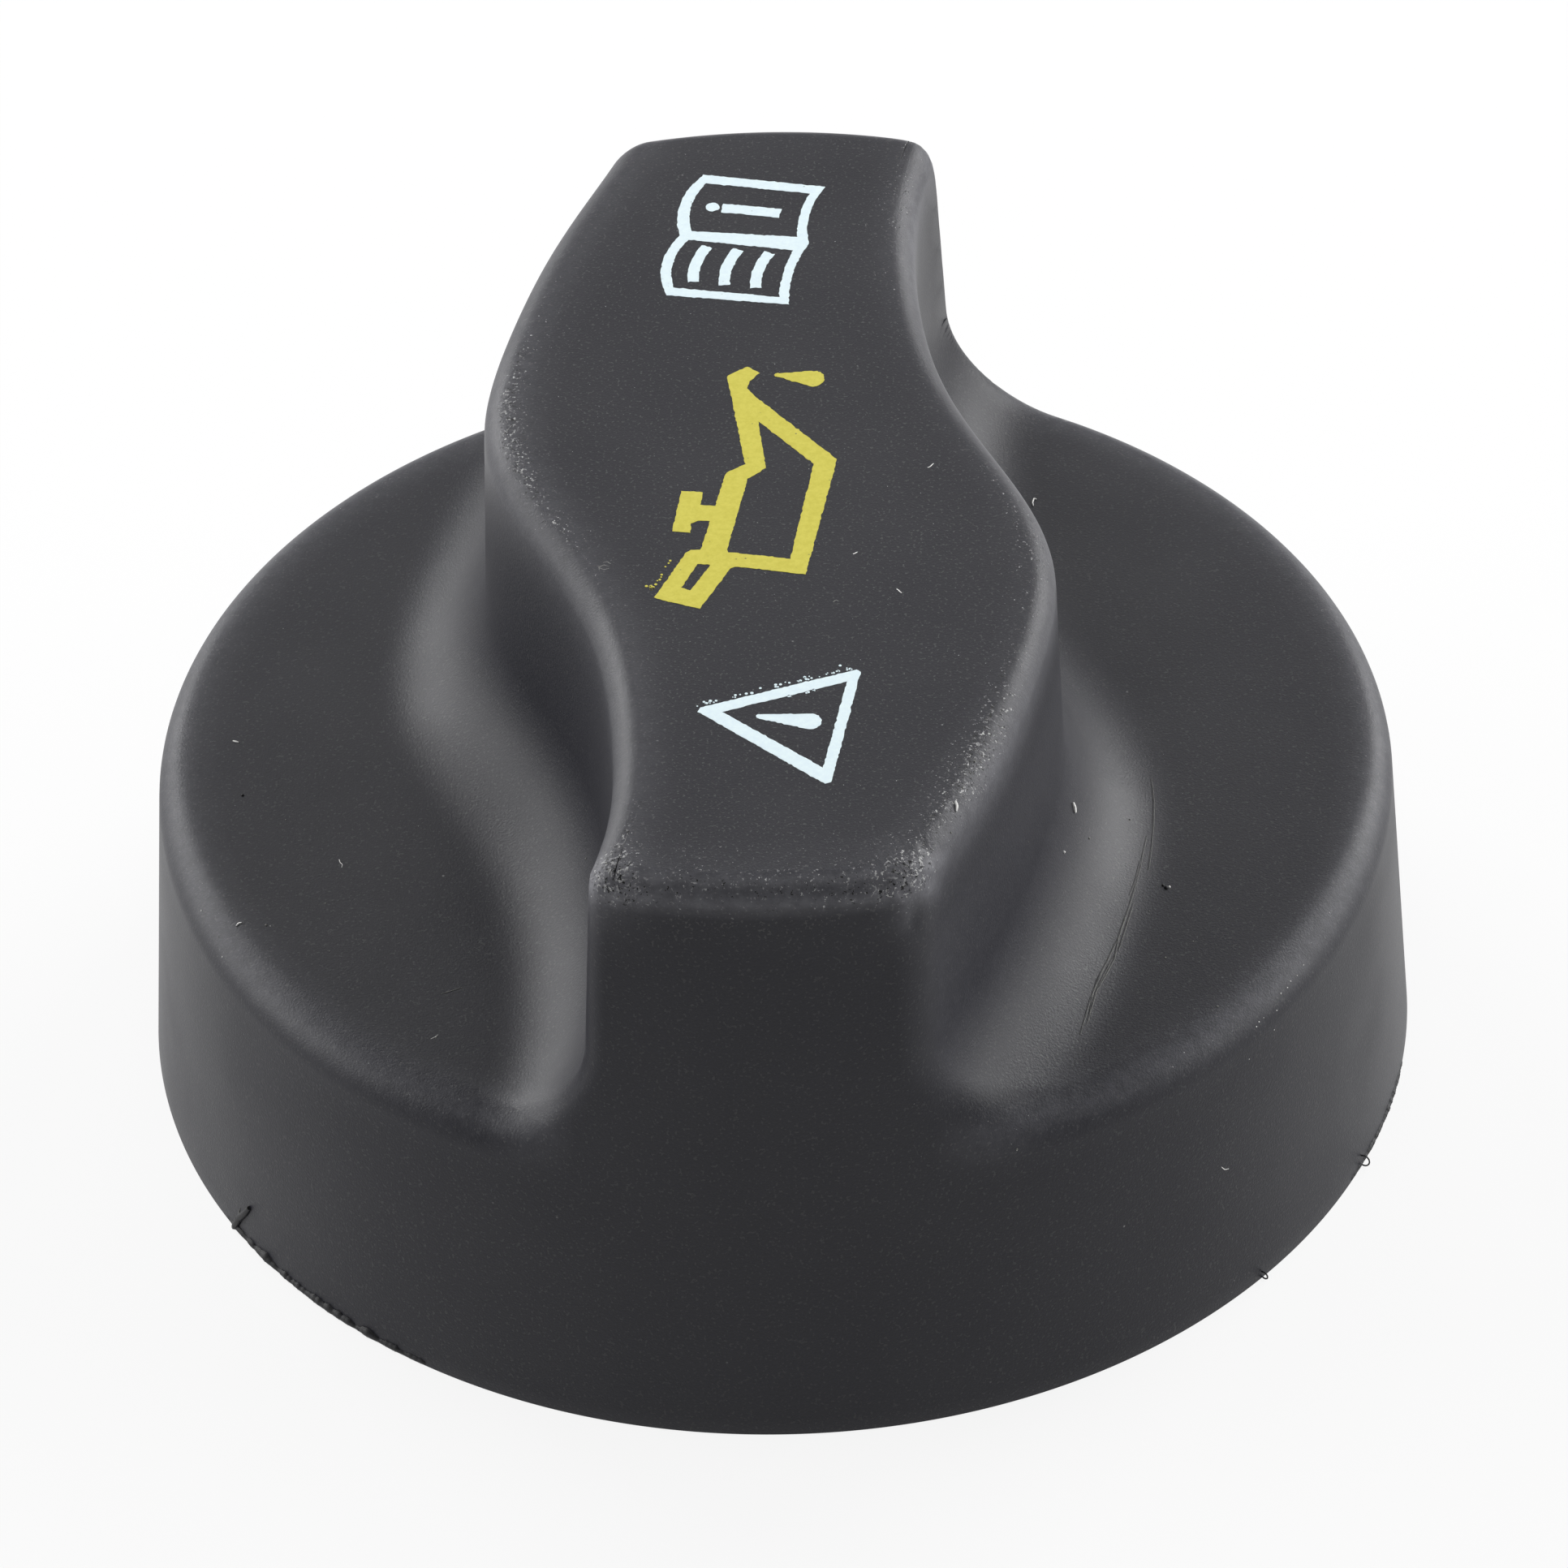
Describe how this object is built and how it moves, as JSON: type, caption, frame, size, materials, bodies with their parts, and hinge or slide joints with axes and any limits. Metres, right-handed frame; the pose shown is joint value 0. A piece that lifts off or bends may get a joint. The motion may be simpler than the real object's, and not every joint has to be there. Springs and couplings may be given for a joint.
{
  "type": "oil filler cap",
  "caption": "Round engine oil filler cap with an S-shaped finger grip above a hollow skirt, a bayonet plug inside it and a flat sealing gasket.",
  "frame": {"origin": "centre of the skirt's rim, in the plane on which the cap stands", "axes": "+Z along the cap's axis towards the grip's flat top, Y along the grip"},
  "size_m": [0.066, 0.066, 0.035],
  "materials": {
    "shell_plastic": "fine satin grain",
    "plug_plastic": "smooth moulded",
    "gasket_rubber": "matte"
  },
  "bodies": {
    "root": {"cap_shell": "shell_plastic", "bayonet_plug": "plug_plastic", "sealing_gasket": "gasket_rubber"}
  },
  "joints": []
}
